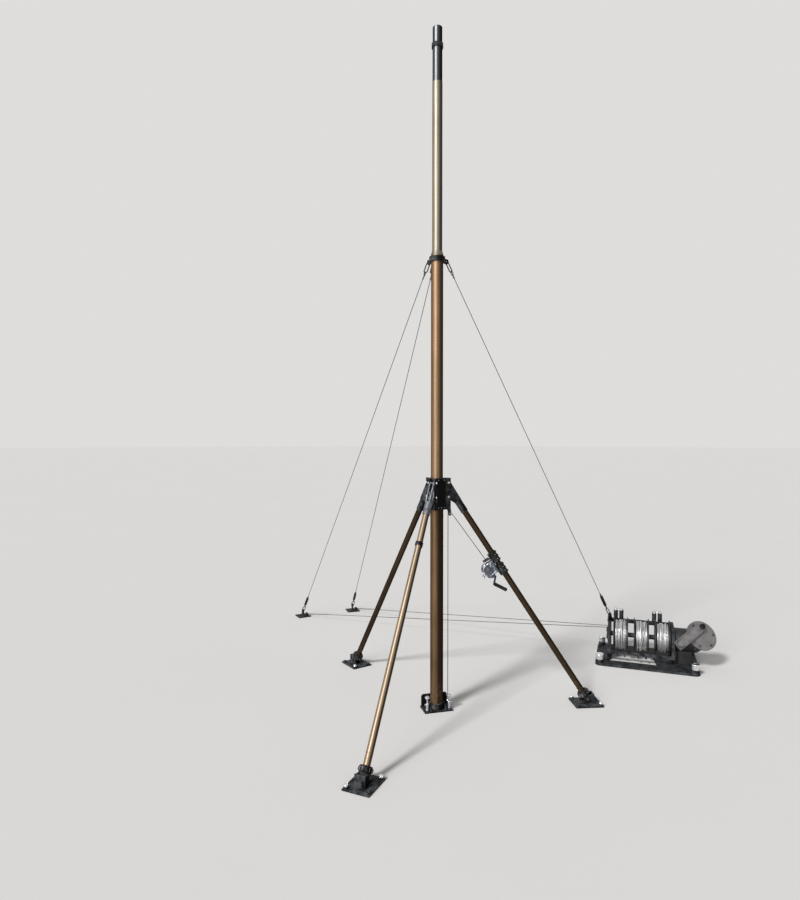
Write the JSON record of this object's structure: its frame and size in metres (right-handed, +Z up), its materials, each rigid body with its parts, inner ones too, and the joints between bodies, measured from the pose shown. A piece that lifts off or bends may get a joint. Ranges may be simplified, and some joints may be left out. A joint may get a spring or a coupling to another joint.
{
  "type": "radio mast",
  "caption": "Portable guyed radio mast: stacked tubes in a tripod hub on a braced base, with a cable winch on a leg, a stay collar, stays, ground anchors and a stay winch.",
  "frame": {"origin": "on the ground, on the mast's axis, at the underside of the base plate", "axes": "+Z up the mast, +X along the right leg, +Y to the far side, away from the picture's camera"},
  "size_m": [3.0544, 3.1999, 4.045],
  "materials": {
    "mast_paint": "satin bronze brown",
    "bare_tube": "satin",
    "ring_rubber": "matte",
    "black_paint": "satin black",
    "zinc": "zinc plated",
    "cable_steel": "wire rope",
    "stay_steel": "wire rope",
    "gear_grey": "grey cast"
  },
  "bodies": {
    "mast": {"base_plate": "black_paint", "base_cup": "black_paint", "base_spindle_left": "zinc", "base_spindle_right": "zinc", "lower_tube": "mast_paint", "middle_tube": "mast_paint", "upper_tube": "mast_paint", "top_spigot": "bare_tube", "top_ring": "ring_rubber", "hub": "black_paint", "leg_head_right": "black_paint", "leg_head_left": "black_paint", "leg_head_front": "zinc", "leg_tube_right": "mast_paint", "leg_tube_left": "mast_paint", "leg_tube_front": "mast_paint", "leg_foot_right": "black_paint", "leg_foot_left": "black_paint", "leg_foot_front": "black_paint", "foot_plate_right": "black_paint", "foot_plate_left": "black_paint", "foot_plate_front": "black_paint", "front_leg_clamp": "black_paint", "winch_clamps": "black_paint", "winch_frame": "zinc", "sheave_bracket": "black_paint", "lift_cable": "cable_steel", "winch_cable": "cable_steel", "stay_collar": "black_paint", "joint_cone": "bare_tube", "stay_left": "stay_steel", "stay_back": "stay_steel", "stay_right": "stay_steel", "anchor_left": "black_paint", "anchor_back": "black_paint", "ground_rope_left": "stay_steel", "ground_rope_back": "stay_steel", "stay_winch_frame": "black_paint", "stay_winch_guides": "black_paint", "stay_winch_drums": "cable_steel", "stay_winch_gearbox": "gear_grey"},
    "winch_drum": {"winch_drum": "zinc"},
    "winch_crank": {"winch_crank": "black_paint"},
    "hub_sheave": {"sheave": "zinc"},
    "stay_crank": {"stay_winch_crank": "gear_grey"}
  },
  "joints": [
    {"name": "winch_drum_turn", "type": "hinge", "parent": "mast", "child": "winch_drum", "pos_m": [0.31182, 0, 0.83929], "axis": [0, 1, 0], "continuous": true},
    {"name": "winch_crank_turn", "type": "hinge", "parent": "mast", "child": "winch_crank", "pos_m": [0.33156, 0.093, 0.79841], "axis": [0.891, 0, -0.454], "continuous": true},
    {"name": "hub_sheave_turn", "type": "hinge", "parent": "mast", "child": "hub_sheave", "pos_m": [0.078, 0, 1.18], "axis": [0, 1, 0], "continuous": true},
    {"name": "stay_crank_turn", "type": "hinge", "parent": "mast", "child": "stay_crank", "pos_m": [1.95328, 0.5116, 0.28056], "axis": [0.0429, -0.818, 0.5736], "continuous": true}
  ],
  "couplings": [
    {"joint": "winch_crank_turn", "follows": "winch_drum_turn", "ratio": 4}
  ]
}
